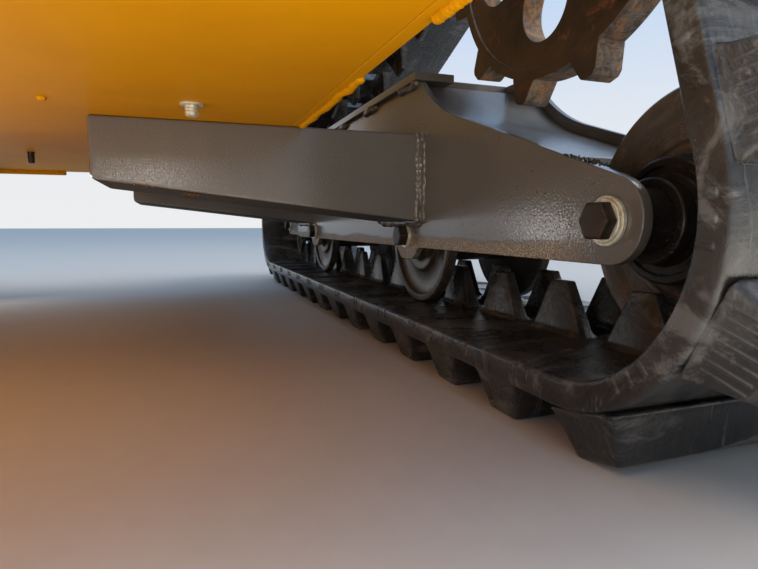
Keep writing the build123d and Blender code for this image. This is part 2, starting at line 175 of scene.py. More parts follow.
def block(name, size, place):
    """Box of a size, its middle at a place."""
    bpy.ops.mesh.primitive_cube_add(size=1.0, location=place)
    bpy.context.object.scale = size
    return named(name)


def begin_edit(piece, mode="FACE"):
    only(piece)
    bpy.ops.object.mode_set(mode="EDIT")
    bpy.ops.mesh.select_mode(type=mode)
    bpy.ops.mesh.select_all(action="SELECT")


def end_edit():
    bpy.ops.object.mode_set(mode="OBJECT")


def sealed(piece, distance=0.0):
    """Merges the verts that lie within a distance, and turns all faces outwards."""
    begin_edit(piece, "VERT")
    if distance:
        bpy.ops.mesh.remove_doubles(threshold=distance)
    bpy.ops.mesh.normals_make_consistent(inside=False)
    end_edit()
    return piece


def pick(piece, kind, test):
    """Selects, in edit mode, the edges or faces whose middle passes a test."""
    bpy.ops.mesh.select_mode(type=kind)
    bpy.ops.mesh.select_all(action="DESELECT")
    shape = bmesh.from_edit_mesh(piece.data)
    if kind == "EDGE":
        for edge in shape.edges:
            edge.select_set(test((edge.verts[0].co + edge.verts[1].co) / 2))
    else:
        for face in shape.faces:
            face.select_set(test(face.calc_center_median()))
    shape.select_flush_mode()
    bmesh.update_edit_mesh(piece.data)


def round_edges(piece, width, test):
    """Rounds, in edit mode, the edges whose middle passes a test."""
    pick(piece, "EDGE", test)
    bpy.ops.mesh.bevel(offset=width, segments=3, affect="EDGES")


def cut(place, normal):
    """Cuts the whole shape in edit mode by a plane, with all of it kept."""
    bpy.ops.mesh.select_all(action="SELECT")
    bpy.ops.mesh.bisect(plane_co=place, plane_no=normal)


def bevelled(piece, width, segments=2, angle=30):
    """Rounds a piece's sharp edges."""
    only(piece)
    bevel = piece.modifiers.new("rounding", "BEVEL")
    bevel.width = width
    bevel.segments = segments
    bevel.limit_method = "ANGLE"
    bevel.angle_limit = math.radians(angle)
    bevel.use_clamp_overlap = False
    bpy.ops.object.modifier_apply(modifier=bevel.name)
    return piece


def smoothed(piece, angle=35):
    only(piece)
    bpy.ops.object.shade_smooth_by_angle(angle=math.radians(angle))
    return piece


def evened(piece):
    """Keeps a piece's large flat faces flat beside their rounded edges."""
    only(piece)
    even = piece.modifiers.new("even_shading", "WEIGHTED_NORMAL")
    even.keep_sharp = True
    bpy.ops.object.modifier_apply(modifier=even.name)
    return piece


def joined(name, *parts):
    """Joins pieces into one."""
    bpy.ops.object.select_all(action="DESELECT")
    for part in parts:
        part.select_set(True)
    bpy.context.view_layer.objects.active = parts[0]
    bpy.ops.object.join()
    return titled(parts[0], name)


def duplicated(piece, name):
    """Copy of a piece, with its own mesh."""
    only(piece)
    bpy.ops.object.duplicate()
    return titled(bpy.context.object, name)


def repeated(name, seed, places):
    """One piece made of a copy of a finished shape at each place. The shape itself goes."""
    gathered = bmesh.new()
    for place in places:
        copy = seed.data.copy()
        copy.transform(place)
        gathered.from_mesh(copy)
        bpy.data.meshes.remove(copy)
    mesh = bpy.data.meshes.new(name)
    gathered.to_mesh(mesh)
    gathered.free()
    piece = bpy.data.objects.new(name, mesh)
    bpy.context.scene.collection.objects.link(piece)
    bpy.data.objects.remove(seed)
    return piece


def mirrored(piece, name):
    """Copy of a left-hand piece for the right-hand side."""
    copy = duplicated(piece, name)
    copy.scale.y = -1
    bpy.ops.object.transform_apply(location=False, rotation=False, scale=True)
    return sealed(copy)


def lathe(name, profile, centre, steps):
    """Turned piece on a cross axis, from a closed profile of (across, radius)."""
    bpy.ops.mesh.primitive_circle_add(vertices=len(profile), radius=1.0, fill_type="NOTHING")
    piece = titled(bpy.context.object, name)
    for vertex, (across, radius) in zip(piece.data.vertices, profile):
        vertex.co = (radius, across, 0.0)
    begin_edit(piece, "VERT")
    bpy.ops.mesh.spin(steps=steps, angle=2 * math.pi, center=(0, 0, 0), axis=(0, 1, 0))
    end_edit()
    sealed(piece, 1e-6)
    piece.data.transform(Matrix.Translation(centre))
    return piece


def both_sides(half):
    """Whole profile from its half above the middle, listed from the middle out."""
    return half + [(-across, radius) for across, radius in reversed(half)]


def finish(piece, material, body="undercarriage"):
    """Gives a piece its material, and the body that it rides on."""
    piece.data.materials.clear()
    piece.data.materials.append(material)
    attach(piece, body)


def stand_in(piece, name, material):
    """Puts a piece in a solid's place."""
    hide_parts(name)
    finish(piece, material, body_of[name])


def paint_faces(piece, material, test):
    """Gives the faces that pass a test of middle and normal another material."""
    piece.data.materials.append(material)
    index = len(piece.data.materials) - 1
    for face in piece.data.polygons:
        if test(face.center, face.normal):
            face.material_index = index


# Shader nodes. Each goes into the newest tree in this list.

trees = []


def node(kind, inputs=None, **settings):
    """Adds a node. The inputs map a socket's name or number to a value or to what feeds it."""
    made = trees[-1].nodes.new(kind)
    for label, value in settings.items():
        setattr(made, label, value)
    for label, value in (inputs or {}).items():
        socket = made.inputs[label]
        if isinstance(value, bpy.types.NodeSocket):
            link(value, socket)
        else:
            socket.default_value = value
    return made


def link(source, socket):
    trees[-1].links.new(source, socket)


def maths(operation, first, second, clamp):
    return node("ShaderNodeMath", {0: first, 1: second}, operation=operation, use_clamp=clamp).outputs[0]


def times(first, second, clamp=False):
    return maths("MULTIPLY", first, second, clamp)


def plus(first, second, clamp=False):
    return maths("ADD", first, second, clamp)


def minus(first, second, clamp=False):
    return maths("SUBTRACT", first, second, clamp)


def noise(place, scale, detail, rough, distortion=0.0):
    return node("ShaderNodeTexNoise", {
        "Vector": place, "Scale": scale, "Detail": detail, "Roughness": rough, "Distortion": distortion,
    }).outputs[0]


def stretched(place, scale):
    return node("ShaderNodeMapping", {"Vector": place, "Scale": scale}).outputs[0]


def ramp(value, low, high):
    """Value mapped to 0..1 between a low and a high level, eased at both ends."""
    inputs = {"Value": value, "From Min": low, "From Max": high}
    return node("ShaderNodeMapRange", inputs, interpolation_type="SMOOTHSTEP").outputs[0]


def between(value, low, high):
    """Value of 0..1 mapped straight onto low..high."""
    return node("ShaderNodeMapRange", {"Value": value, "To Min": low, "To Max": high}).outputs[0]


def mixed(factor, first, second):
    """Colour between two colours."""
    return node("ShaderNodeMix", {0: factor, 6: first, 7: second}, data_type="RGBA").outputs[2]


def rgb(red, green, blue):
    return (red, green, blue, 1.0)


def own_place():
    """Where a point lies in its object's own coordinates."""
    return node("ShaderNodeTexCoord").outputs["Object"]


def facing():
    return node("ShaderNodeNewGeometry").outputs["Normal"]


def split(vector):
    """The X, Y and Z of a vector."""
    return node("ShaderNodeSeparateXYZ", {0: vector}).outputs


def rounded_edge(radius, samples):
    """A normal that rounds the edges, and how far it is turned from the flat one."""
    rounded = node("ShaderNodeBevel", {"Radius": radius}, samples=samples).outputs[0]
    match = node("ShaderNodeVectorMath", {0: rounded, 1: facing()}, operation="DOT_PRODUCT")
    return rounded, minus(1.0, match.outputs["Value"])


def bump(height, distance, normal):
    inputs = {"Height": height, "Distance": distance, "Normal": normal, "Strength": 1.0}
    return node("ShaderNodeBump", inputs).outputs[0]


# Shader groups

def new_group(name, inputs, outputs):
    """Starts a shader group: its inputs with their values, its outputs with their kinds of socket."""
    group = bpy.data.node_groups.new(name, "ShaderNodeTree")
    trees.append(group)
    for label, value in inputs.items():
        socket = group.interface.new_socket(name=label, in_out="INPUT", socket_type="NodeSocketFloat")
        socket.default_value = value
    for label, kind in outputs.items():
        group.interface.new_socket(name=label, in_out="OUTPUT", socket_type="NodeSocket" + kind)
    return group, group.nodes.new("NodeGroupInput").outputs, group.nodes.new("NodeGroupOutput").inputs


def edge_wear_group():
    """Where an edge is rubbed, and a normal that rounds the edge."""
    inputs = {"Radius": 0.0015, "Scale": 60.0, "Amount": 0.6}
    group, given, out = new_group("edge_wear", inputs, {"Mask": "Float", "Normal": "Vector"})
    rounded, turn = rounded_edge(given["Radius"], 6)
    breakup = ramp(noise(own_place(), given["Scale"], 6.0, 0.65), 0.42, 0.62)
    link(times(times(ramp(turn, 0.004, 0.12), breakup), given["Amount"], clamp=True), out["Mask"])
    link(rounded, out["Normal"])
    return group


def dust_group():
    """Dust that settles on what faces up, and thins out in patches."""
    inputs = {"Amount": 0.5, "Scale": 25.0, "Everywhere": 0.1}
    group, given, out = new_group("settled_dust", inputs, {"Mask": "Float"})
    place = own_place()
    lying = ramp(split(facing())["Z"], 0.25, 0.95)
    patches = ramp(noise(place, given["Scale"], 8.0, 0.62, 0.6), 0.32, 0.68)
    specks = ramp(noise(place, times(given["Scale"], 22.0), 3.0, 0.6), 0.50, 0.66)
    film = times(patches, plus(lying, given["Everywhere"], clamp=True))
    speckled = times(film, between(specks, 0.55, 1.0))
    link(times(speckled, given["Amount"], clamp=True), out["Mask"])
    return group


def rust_group():
    """Patches of rust: how much, and their colour."""
    outputs = {"Mask": "Float", "Colour": "Color", "Height": "Float"}
    group, given, out = new_group("rust_bloom", {"Scale": 30.0, "Amount": 0.5}, outputs)
    place = own_place()
    broad = noise(place, given["Scale"], 9.0, 0.68, 0.8)
    fine = noise(place, times(given["Scale"], 9.0), 6.0, 0.7)
    spread = plus(times(broad, 0.75), times(fine, 0.25))
    low = between(minus(1.0, given["Amount"]), 0.32, 0.62)
    mask = ramp(spread, low, plus(low, 0.09))
    link(mask, out["Mask"])
    link(mixed(ramp(fine, 0.35, 0.65), rgb(0.11, 0.036, 0.012), rgb(0.33, 0.115, 0.03)), out["Colour"])
    link(times(mask, fine), out["Height"])
    return group


def chip_group():
    """Small chips: rusty ones close to edges, and black specks of tar anywhere in a few patches."""
    inputs = {"Edge Width": 0.004, "Amount": 0.5, "Specks": 0.5}
    group, given, out = new_group("paint_chips", inputs, {"Rust": "Float", "Tar": "Float"})
    place = own_place()
    near_edge = ramp(rounded_edge(given["Edge Width"], 4)[1], 0.0015, 0.02)
    few = ramp(noise(place, 34.0, 5.0, 0.7, 0.5), 0.655, 0.685)
    patch = ramp(noise(place, 13.0, 3.0, 0.5), 0.54, 0.64)
    speck = ramp(noise(place, 300.0, 3.0, 0.6), 0.665, 0.70)
    link(times(times(near_edge, few), given["Amount"], clamp=True), out["Rust"])
    link(times(times(patch, speck), given["Specks"], clamp=True), out["Tar"])
    return group


def grit_group():
    """Grains of sand thrown up along the lowest edge of the plates."""
    inputs = {"Low": 0.090, "High": 0.101, "Start": -0.425, "Amount": 0.8}
    group, given, out = new_group("thrown_grit", inputs, {"Mask": "Float"})
    place = own_place()
    where = split(place)
    ahead = ramp(minus(where["X"], given["Start"]), 0.0, 0.035)
    drift = noise(stretched(place, (9.0, 9.0, 40.0)), 1.0, 4.0, 0.6)
    reach = times(minus(given["High"], given["Low"]), drift)
    top = plus(given["Low"], times(reach, 1.6))
    low = ramp(minus(top, where["Z"]), -0.002, 0.004)
    grains = ramp(noise(place, 1150.0, 3.0, 0.6), 0.46, 0.56)
    link(times(times(times(low, ahead), grains), given["Amount"]), out["Mask"])
    return group


def peel_group():
    """Orange peel of sprayed paint, with a few grains under it."""
    group, given, out = new_group("paint_peel", {"Scale": 520.0, "Grains": 0.3}, {"Height": "Float"})
    place = own_place()
    waves = noise(place, given["Scale"], 2.0, 0.5)
    cells = node("ShaderNodeTexVoronoi", {"Vector": place, "Scale": times(given["Scale"], 0.7)})
    grains = ramp(cells.outputs["Distance"], 0.28, 0.0)
    link(plus(waves, times(grains, given["Grains"])), out["Height"])
    return group


edge_wear = edge_wear_group()
settled_dust = dust_group()
rust_bloom = rust_group()
paint_chips = chip_group()
thrown_grit = grit_group()
paint_peel = peel_group()


# Materials

def use(group, **values):
    """Places a shader group with its own values, given by input names in lower case."""
    made = node("ShaderNodeGroup", node_tree=group)
    for label, value in values.items():
        made.inputs[label.capitalize()].default_value = value
    return made.outputs


def new_material(name):
    """Starts a material: the material itself, its Principled shader and the object's own coordinates."""
    material = bpy.data.materials.new(name)
    material.use_nodes = True
    trees.append(material.node_tree)
    return material, trees[-1].nodes["Principled BSDF"], own_place()


def set_surface(shader, colour, roughness, normal, metallic=0.0):
    """Feeds a shader's colour, roughness and normal, and sets its plain metallic."""
    link(colour, shader.inputs["Base Color"])
    link(roughness, shader.inputs["Roughness"])
    link(normal, shader.inputs["Normal"])
    shader.inputs["Metallic"].default_value = metallic


def painted(name, colour, deep, dust_colour, roughness, peel, wear, dust, coat, shine=0.5, grime=0.0):
    """Sprayed paint with rubbed edges, chips, grit, dust and painted shade on faces that look down. Its
    peel is scale, grains and depth.
    """
    material, shader, place = new_material(name)
    shade = mixed(ramp(noise(place, 6.0, 6.0, 0.6, 0.4), 0.3, 0.75), deep, colour)
    worn = use(edge_wear, radius=0.0010, scale=95.0, amount=wear)
    shade = mixed(worn["Mask"], shade, rgb(*(min(1.0, 0.10 + 1.6 * part) for part in colour[:3])))
    film = use(settled_dust, amount=dust, scale=22.0, everywhere=0.12)
    shade = mixed(film["Mask"], shade, dust_colour)
    grit = use(thrown_grit, amount=1.0)
    shade = mixed(grit["Mask"], shade, rgb(0.62, 0.48, 0.31))
    chips = use(paint_chips, amount=0.9, specks=0.9 * grime)
    shade = mixed(chips["Rust"], shade, rgb(0.36, 0.135, 0.045))
    shade = mixed(chips["Tar"], shade, rgb(0.010, 0.009, 0.008))
    height = use(paint_peel, scale=peel[0], grains=peel[1])["Height"]
    height = plus(height, times(grit["Mask"], 3.0))
    height = plus(height, times(minus(chips["Tar"], chips["Rust"]), 1.5))
    normal = bump(height, peel[2], worn["Normal"])
    smears = noise(stretched(place, (9.0, 14.0, 30.0)), 1.0, 6.0, 0.6)
    # Painted shade: faces that look down are darkened towards near-black and made duller; the same amount
    # also sets the tar specks.
    under = times(ramp(times(split(facing())["Z"], -1.0), 0.5, 0.95), grime)
    shade = mixed(times(under, 0.6), shade, rgb(0.030, 0.026, 0.022))
    matt = plus(plus(film["Mask"], plus(grit["Mask"], chips["Rust"])), under, clamp=True)
    rough = plus(between(smears, roughness - 0.06, roughness + 0.06), times(matt, 0.5), clamp=True)
    set_surface(shader, shade, rough, normal)
    if coat:
        link(times(minus(1.0, matt, clamp=True), coat), shader.inputs["Coat Weight"])
        link(normal, shader.inputs["Coat Normal"])
        shader.inputs["Coat Roughness"].default_value = 0.09
    shader.inputs["Specular IOR Level"].default_value = shine
    return material


def plated(name, colour, tarnish, roughness):
    """Zinc plating with dull blotches and fine scratches."""
    material, shader, place = new_material(name)
    blotches = noise(place, 160.0, 7.0, 0.65, 0.7)
    shade = mixed(ramp(blotches, 0.38, 0.66), colour, tarnish)
    worn = use(edge_wear, radius=0.0008, scale=200.0, amount=0.5)
    shade = mixed(worn["Mask"], shade, rgb(0.75, 0.72, 0.62))
    scratches = noise(stretched(place, (2600.0, 180.0, 2600.0)), 1.0, 3.0, 0.6)
    normal = bump(scratches, 0.00002, worn["Normal"])
    set_surface(shader, shade, between(blotches, roughness - 0.12, roughness + 0.22), normal, metallic=0.5)
    return material


def dark_steel(name, colour, roughness, rust, rust_scale=45.0, metallic=0.35):
    """Dark oily steel with some rust."""
    material, shader, place = new_material(name)
    clouds = noise(place, 35.0, 8.0, 0.65, 0.5)
    shade = mixed(ramp(clouds, 0.3, 0.72), colour, rgb(*(0.45 * part for part in colour[:3])))
    bloom = use(rust_bloom, scale=rust_scale, amount=rust)
    shade = mixed(times(bloom["Mask"], 0.8), shade, bloom["Colour"])
    worn = use(edge_wear, radius=0.0012, scale=120.0, amount=0.55)
    shade = mixed(worn["Mask"], shade, rgb(0.22, 0.18, 0.14))
    film = use(settled_dust, amount=0.35, scale=30.0, everywhere=0.2)
    shade = mixed(film["Mask"], shade, rgb(0.20, 0.165, 0.12))
    pits = plus(noise(place, 420.0, 6.0, 0.65), times(bloom["Height"], 1.5))
    normal = bump(pits, 0.00018, worn["Normal"])
    rough = plus(between(clouds, roughness - 0.12, roughness + 0.12), times(bloom["Mask"], 0.3), clamp=True)
    set_surface(shader, shade, rough, normal, metallic)
    return material


def cut_steel(name):
    """Flame-cut edge: fine drag lines across the plate, brown and grey with orange patches."""
    material, shader, place = new_material(name)
    lines = noise(stretched(place, (1500.0, 70.0, 1500.0)), 1.0, 4.0, 0.6, 0.3)
    blots = noise(place, 120.0, 8.0, 0.7, 0.8)
    patches = noise(place, 38.0, 8.0, 0.68, 0.8)
    brown = mixed(ramp(blots, 0.35, 0.68), rgb(0.095, 0.064, 0.046), rgb(0.36, 0.275, 0.205))
    orange = mixed(ramp(blots, 0.38, 0.66), rgb(0.24, 0.110, 0.050), rgb(0.58, 0.32, 0.14))
    shade = mixed(ramp(patches, 0.52, 0.60), brown, orange)
    shade = mixed(times(ramp(lines, 0.52, 0.66), 0.5), shade, rgb(0.34, 0.30, 0.25))
    worn = use(edge_wear, radius=0.0015, scale=90.0, amount=0.5)
    shade = mixed(worn["Mask"], shade, rgb(0.42, 0.35, 0.27))
    normal = bump(plus(times(lines, 0.6), blots), 0.0007, worn["Normal"])
    set_surface(shader, shade, between(blots, 0.36, 0.74), normal, metallic=0.25)
    return material


def rubber(name):
    """Black track rubber: glossy, with grey blotches and light streaks that are partly rubbing and scuffs
    and partly painted reflection, and dust in patches.
    """
    material, shader, place = new_material(name)
    clouds = noise(place, 14.0, 7.0, 0.62, 0.6)
    shade = mixed(ramp(clouds, 0.35, 0.7), rgb(0.012, 0.012, 0.013), rgb(0.036, 0.032, 0.028))
    # The grey blotches and light streaks are partly wear and partly painted reflection of bright
    # surroundings on the glossy belt.
    rubbed_and_sheen_blotches = noise(stretched(place, (24.0, 9.0, 30.0)), 1.0, 9.0, 0.68, 1.4)
    shade = mixed(ramp(rubbed_and_sheen_blotches, 0.52, 0.64), shade, rgb(0.100, 0.096, 0.090))
    scuff_and_sheen_streaks = noise(stretched(place, (16.0, 160.0, 24.0)), 1.0, 7.0, 0.66, 0.9)
    shade = mixed(times(ramp(scuff_and_sheen_streaks, 0.56, 0.72), 0.55), shade, rgb(0.16, 0.145, 0.12))
    worn = use(edge_wear, radius=0.0014, scale=110.0, amount=0.5)
    shade = mixed(worn["Mask"], shade, rgb(0.17, 0.155, 0.13))
    film = use(settled_dust, amount=0.40, scale=28.0, everywhere=0.30)
    shade = mixed(film["Mask"], shade, rgb(0.20, 0.170, 0.13))
    grit = plus(noise(place, 240.0, 6.0, 0.6), times(scuff_and_sheen_streaks, 1.6))
    normal = bump(plus(grit, times(rubbed_and_sheen_blotches, 2.0)), 0.0004, worn["Normal"])
    rough = plus(between(clouds, 0.10, 0.36), times(film["Mask"], 0.5), clamp=True)
    set_surface(shader, shade, rough, normal)
    return material


sand = rgb(0.40, 0.33, 0.23)
pale_dust = rgb(0.42, 0.42, 0.40)
materials = {
    "yellow_paint": painted(
        "yellow_paint", rgb(0.82, 0.370, 0.0), rgb(0.72, 0.300, 0.0), sand,
        roughness=0.52, peel=(420.0, 0.15, 0.00006), wear=0.3, dust=0.12, coat=0.0, shine=0.08,
    ),
    "grey_paint": painted(
        "grey_paint", rgb(0.150, 0.130, 0.108), rgb(0.116, 0.102, 0.086), pale_dust,
        roughness=0.36, peel=(640.0, 0.8, 0.00011), wear=0.75, dust=0.24, coat=0.8, grime=1.0,
    ),
    "motor_paint": painted(
        "motor_paint", rgb(0.030, 0.030, 0.031), rgb(0.020, 0.020, 0.020), sand,
        roughness=0.40, peel=(260.0, 0.8, 0.0002), wear=0.5, dust=0.35, coat=0.1,
    ),
    "wheel_paint": dark_steel("wheel_paint", rgb(0.085, 0.066, 0.052), 0.30, 0.22),
    "sprocket_steel": dark_steel("sprocket_skin", rgb(0.088, 0.048, 0.025), 0.46, 0.26, 38.0, 0.1),
    "axle_steel": plated("zinc", rgb(0.92, 0.89, 0.74), rgb(0.62, 0.57, 0.42), 0.30),
    "track_rubber": rubber("track_rubber"),
}
# Idler paint: the wheels' dark paint made much lighter, as painted light on the idlers' faces.
idler_paint = dark_steel("idler_paint", rgb(0.190, 0.155, 0.130), 0.26, 0.24)
cut_edge = cut_steel("flame_cut_edge")
bolt_steel = dark_steel("bolt_steel", rgb(0.052, 0.036, 0.025), 0.40, 0.16, 140.0, 0.5)
grease = dark_steel("greased_steel", rgb(0.020, 0.018, 0.017), 0.22, 0.08, 60.0, 0.3)
rust = dark_steel("flaked_rust", rgb(0.42, 0.17, 0.05), 0.7, 0.5, 90.0, 0.0)


# The solids, with rounded edges

def off_middle(point):
    """How far a point lies across from the middle line of its belt."""
    return abs(abs(point.y) - half_gauge)


def softened(name, width):
    """Copy of a solid with its edges rounded, in its own finish."""
    piece = duplicated(nodes[name], name + "_finish")
    piece.parent = None
    bpy.ops.mesh.customdata_custom_splitnormals_clear()
    begin_edit(piece, "VERT")
    bpy.ops.mesh.remove_doubles(threshold=2e-6)
    bpy.ops.mesh.dissolve_limited(angle_limit=math.radians(0.6))
    if name.endswith("axle") or name.endswith("axles"):
        reach = max(off_middle(vertex.co) for vertex in nodes[name].data.vertices) - 0.0001
        round_edges(piece, 0.0016, lambda middle: off_middle(middle) > reach)
    end_edit()
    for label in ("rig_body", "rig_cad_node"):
        if label in piece:
            del piece[label]
    evened(smoothed(bevelled(piece, width)))
    stand_in(piece, name, materials[slots[name]])
    return piece


edge_rounds = {
    0.0005: "rear_idler_axle front_idler_axle roller_axles",
    0.0006: "rear_cover front_cover",
    0.0007: "inner_frame_plate outer_frame_plate",
    0.0008: "belly_plate rear_wall front_wall frame_top_plate tension_stop",
    0.0009: "sprocket",
    0.0010: "tensioner sprocket_hub",
    0.0012: "side_wall tension_yoke",
    0.0015: "drive_motor",
    0.0025: "rear_arm front_arm",
}
finished = {}
for name in nodes:
    plain = name.replace("left_", "").replace("right_", "")
    for width, names in edge_rounds.items():
        if plain in names.split():
            finished[name] = softened(name, width)


def dress_axle(piece, seat):
    """Dark heads and a greasy middle on an axle whose zinc washers lie at a seat on each side."""
    head = seat + washer_thickness + running_gap
    paint_faces(piece, bolt_steel, lambda middle, normal: off_middle(middle) > head)
    paint_faces(piece, grease, lambda middle, normal: off_middle(middle) < seat - running_gap)


for sign, side in sides:
    paint_faces(finished[side + "_sprocket"], cut_edge, lambda middle, normal: abs(normal.y) < 0.6)
    dress_axle(finished[side + "_rear_idler_axle"], half_frame)
    dress_axle(finished[side + "_roller_axles"], half_frame)
    yoke_low, yoke_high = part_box(side + "_tension_yoke")
    dress_axle(finished[side + "_front_idler_axle"], (yoke_high.y - yoke_low.y) / 2)


# Turned wheels, as half profiles of (across, radius)

idler_rim = idler_wrap_radius - running_gap
web_grooves = [((0.0058, 0.0063)[step % 2], 0.0575 - 0.001 * step) for step in range(8)]
idler_half = [
    (0.0075, idler_rim), (0.0090, idler_rim - 0.0015), (0.0090, idler_rim - 0.0095),
    (0.0080, idler_rim - 0.0120), (0.0062, idler_rim - 0.0145), *web_grooves,
    (0.0060, 0.0495), (0.0064, 0.0480), (0.0085, 0.0475), (0.0090, 0.0465),
    (0.0088, 0.0440), (0.0070, 0.0425), (0.0075, 0.0400), (0.0100, 0.0370), (0.0160, 0.0348),
    (0.0285, 0.0330), (0.0300, 0.0318), (0.0300, 0.0285), (0.0285, 0.0278), (0.0285, 0.0240),
    (0.0300, 0.0230), (0.0315, 0.0220), (0.0392, 0.0220), (0.0400, 0.0212), (0.0400, 0.0165),
    (0.0388, 0.0160), (0.0388, 0.0121),
]
roller_rim = roller_radius - running_gap
roller_half = [
    (0.0350, 0.0240), (0.0362, 0.0250), (0.0400, 0.0400), (0.0408, 0.0500), (0.0424, 0.0545),
    (0.0430, 0.0560), (0.0430, roller_rim - 0.0012), (0.0442, roller_rim), (0.0518, roller_rim),
    (0.0530, roller_rim - 0.0012), (0.0530, 0.0566), (0.0520, 0.0552), (0.0500, 0.0545), (0.0476, 0.0500),
    (0.0470, 0.0380), (0.0480, 0.0345), (0.0500, 0.0335), (0.0512, 0.0320), (0.0515, 0.0300),
    (0.0505, 0.0270), (0.0510, 0.0240), (0.0530, 0.0222), (0.0552, 0.0205), (0.0560, 0.0190),
    (0.0560, 0.0101),
]


def idler(name, axle):
    """Idler: centre rim, thin web, ring step and greasy hub, in a paint lightened as painted light."""
    piece = smoothed(lathe(name + "_turned", both_sides(idler_half), axle, 128), 28)
    stand_in(piece, name, idler_paint)
    paint_faces(piece, grease, lambda middle, normal: math.hypot(
        middle.x - axle.x, middle.z - axle.z) < hub_grease_radius)


def rollers(name, places):
    """Pair of road rollers: dished discs with a thin rim, a barrel and caps."""
    parts = [smoothed(lathe("roller", both_sides(roller_half), place, 112), 28) for place in places]
    stand_in(joined(name + "_turned", *parts), name, materials["wheel_paint"])


roller_low, roller_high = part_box("left_road_rollers")
roller_z = (roller_low.z + roller_high.z) / 2
roller_reach = (roller_high.z - roller_low.z) / 2
for sign, side in sides:
    across = Vector((1, sign, 1))
    idler(side + "_rear_idler", rear_axle * across)
    idler(side + "_front_idler", front_axle * across)
    rollers(side + "_road_rollers", [
        Vector((roller_low.x + roller_reach, sign * half_gauge, roller_z)),
        Vector((roller_high.x - roller_reach, sign * half_gauge, roller_z)),
    ])


# Rubber tracks

def run_normal(first, second):
    """Outward normal of the straight run between two wheels, as an angle."""
    dx = second.x - first.x
    dz = second.z - first.z
    swing = math.acos((first.radius - second.radius) / math.hypot(dx, dz))
    return math.atan2(dz, dx) + swing


def track_path():
    """Arcs and runs of the track's pitch line, clockwise from under the rear axle."""
    wrap = idler_wrap_radius + pitch_line_depth
    rear = Wheel(rear_axle.x - belt_standoff, rear_axle.z, wrap)
    top = Wheel(sprocket_axle.x, sprocket_axle.z, sprocket_teeth * track_pitch / (2 * math.pi))
    front = Wheel(front_axle.x + belt_standoff, front_axle.z, wrap)
    normals = (1.5 * math.pi, run_normal(rear, top), run_normal(top, front), -0.5 * math.pi)
    pieces = []
    for index, (wheel, after) in enumerate(((rear, top), (top, front), (front, rear))):
        start, end = normals[index:index + 2]
        pieces.append(Arc(wheel, start, (start - end) * wheel.radius))
        x = wheel.x + wheel.radius * math.cos(end)
        z = wheel.z + wheel.radius * math.sin(end)
        gap = math.hypot(after.x - wheel.x, after.z - wheel.z)
        pieces.append(Run(x, z, end, math.sqrt(gap**2 - (after.radius - wheel.radius) ** 2)))
    return pieces


path = track_path()


def path_point(distance):
    """Place and outward normal at a distance along the pitch line."""
    rest = distance % (track_pitch * track_links)
    for piece in path:
        if rest <= piece.length:
            break
        rest -= piece.length
    if isinstance(piece, Arc):
        turn = piece.start - rest / piece.wheel.radius
        out = Vector((math.cos(turn), 0, math.sin(turn)))
        return Vector((piece.wheel.x, 0, piece.wheel.z)) + piece.wheel.radius * out, out
    out = Vector((math.cos(piece.normal), 0, math.sin(piece.normal)))
    return Vector((piece.x, 0, piece.z)) + rest * Vector((out.z, 0, -out.x)), out


def link_place(distance):
    """Place of a stiff piece of the track: x along it, y across it and z outwards."""
    point, out = path_point(distance)
    along = Vector((out.z, 0, -out.x))
    turn = Matrix((along, Vector((0, 1, 0)), out)).transposed().to_4x4()
    return Matrix.Translation(point + Vector((0, half_gauge, 0))) @ turn


def wrapped(piece):
    """Bends a flat strip, x along the track and z out of it, round the whole loop."""
    for vertex in piece.data.vertices:
        point, out = path_point(vertex.co.x)
        vertex.co = point + vertex.co.z * out + Vector((0, vertex.co.y + half_gauge, 0))
    return piece


belt_in = -pitch_line_depth
belt_out = belt_thickness - pitch_line_depth


def belt_link():
    """Flat stretch of belt one pitch long, with its drive window and rounded outer edges."""
    near = 0.0001
    piece = block("belt_link", (track_pitch, belt_width, belt_thickness), (0, 0, (belt_in + belt_out) / 2))
    begin_edit(piece)
    pick(piece, "FACE", lambda middle: abs(middle.x) > track_pitch * 0.49)
    bpy.ops.mesh.delete(type="FACE")
    round_edges(piece, belt_edge_round, lambda middle: abs(middle.y) > belt_width * 0.49
                and abs(middle.x) < 0.001)
    half_length = (window_inner_length + window_outer_length) / 4
    half_width = window_width / 2
    bends = sorted([*link_bends, half_length])
    for x in [-bend for bend in reversed(bends)] + bends:
        cut((x, 0, 0), (1, 0, 0))
    for y in (-side_bend, -half_width, half_width, side_bend):
        cut((0, y, 0), (0, 1, 0))
    pick(piece, "FACE", lambda middle: abs(middle.x) < half_length and abs(middle.y) < half_width)
    bpy.ops.mesh.delete(type="FACE")
    pick(piece, "EDGE", lambda middle: abs(middle.x) < half_length + near
         and abs(middle.y) < half_width + near)
    bpy.ops.mesh.bridge_edge_loops()
    shape = bmesh.from_edit_mesh(piece.data)
    for vertex in shape.verts:
        if abs(vertex.co.y) < half_width + near and abs(abs(vertex.co.x) - half_length) < near:
            half = window_inner_length / 2 if vertex.co.z < 0 else window_outer_length / 2
            vertex.co.x = math.copysign(half, vertex.co.x)
    bmesh.update_edit_mesh(piece.data)
    round_edges(piece, window_round, lambda middle: belt_in + 0.001 < middle.z < belt_out - 0.001
                and abs(abs(middle.y) - half_width) < near and abs(middle.x) > half_length * 0.8)
    end_edit()
    return piece


